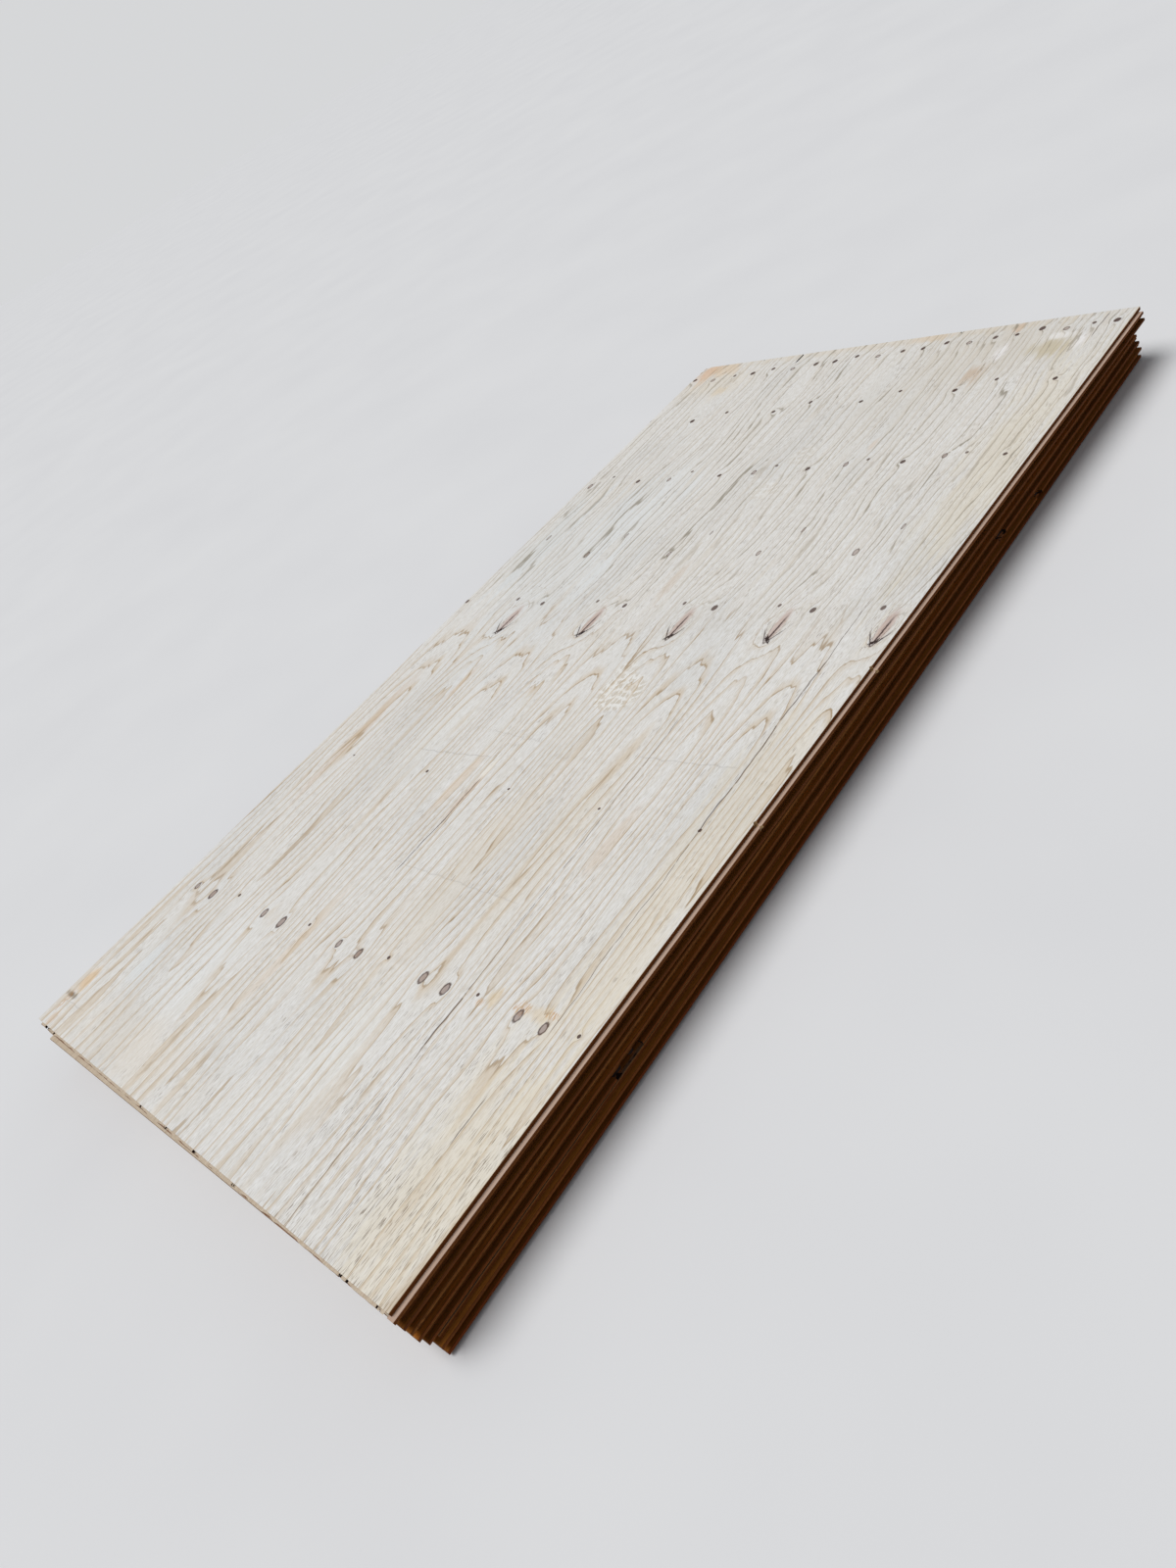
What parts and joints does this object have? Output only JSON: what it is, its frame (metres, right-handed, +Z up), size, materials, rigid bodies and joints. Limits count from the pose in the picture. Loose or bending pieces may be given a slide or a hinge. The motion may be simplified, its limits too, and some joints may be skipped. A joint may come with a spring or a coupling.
{
  "type": "plywood sheet stack",
  "caption": "Stack of softwood plywood flooring sheets laid flat and a little askew, each with tongue and groove edges.",
  "frame": {"origin": "middle of the stack's bounding box, on the plane that the bottom sheet lies on", "axes": "+X along the sheets from the tongued end to the grooved end, +Y across them from the tongued edge to the grooved edge, +Z up"},
  "size_m": [2.4736, 1.2644, 0.126],
  "materials": {
    "plywood": "bare rotary-cut softwood veneer, matt"
  },
  "bodies": {
    "root": {"bottom_sheet": "plywood", "sheet_2": "plywood", "sheet_3": "plywood", "sheet_4": "plywood", "sheet_5": "plywood", "sheet_6": "plywood", "top_sheet": "plywood"}
  },
  "joints": []
}
